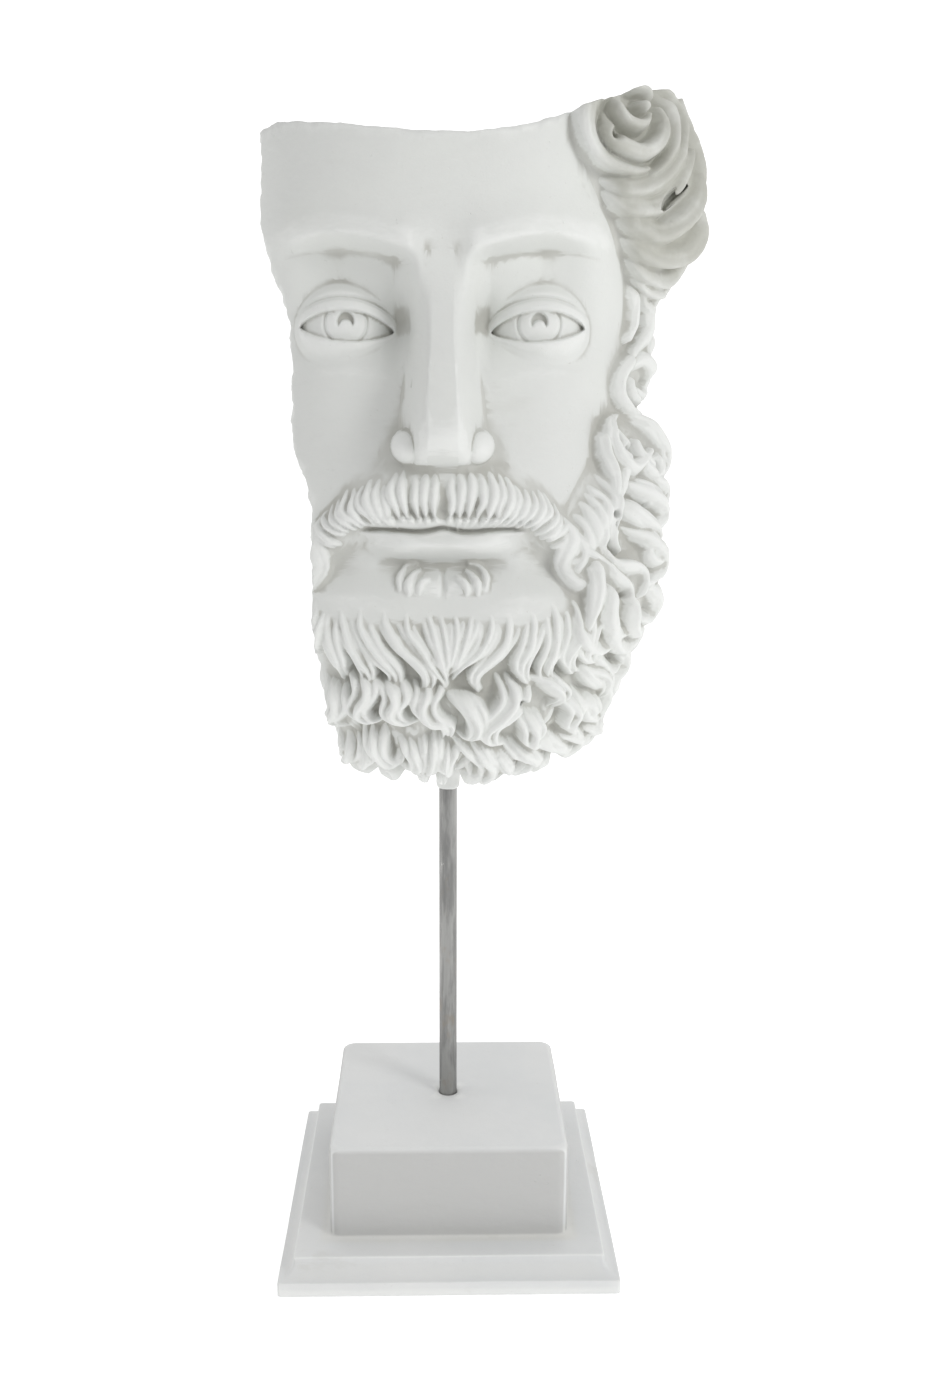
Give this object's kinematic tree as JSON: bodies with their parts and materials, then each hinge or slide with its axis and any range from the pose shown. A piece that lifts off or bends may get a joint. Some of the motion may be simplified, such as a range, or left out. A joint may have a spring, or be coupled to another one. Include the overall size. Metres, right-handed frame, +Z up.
{
  "type": "bearded face fragment sculpture on rod and plinth",
  "caption": "Plaster cast fragment of a bearded god's face with hair on one side, held upright by a steel rod over a stepped square plinth.",
  "frame": {"origin": "centre of the plinth's flat underside", "axes": "+Z up along the rod, -Y the way the face looks, +X towards the side that keeps its hair"},
  "size_m": [0.2347, 0.182, 0.6172],
  "materials": {
    "cast_plaster": "matt white cast plaster",
    "plinth_plaster": "matt white cast plaster, a little greyer",
    "rod_steel": "bare drawn mild steel, dull grey"
  },
  "bodies": {
    "root": {"plinth": "plinth_plaster", "support_rod": "rod_steel", "face_fragment": "cast_plaster"}
  },
  "joints": []
}
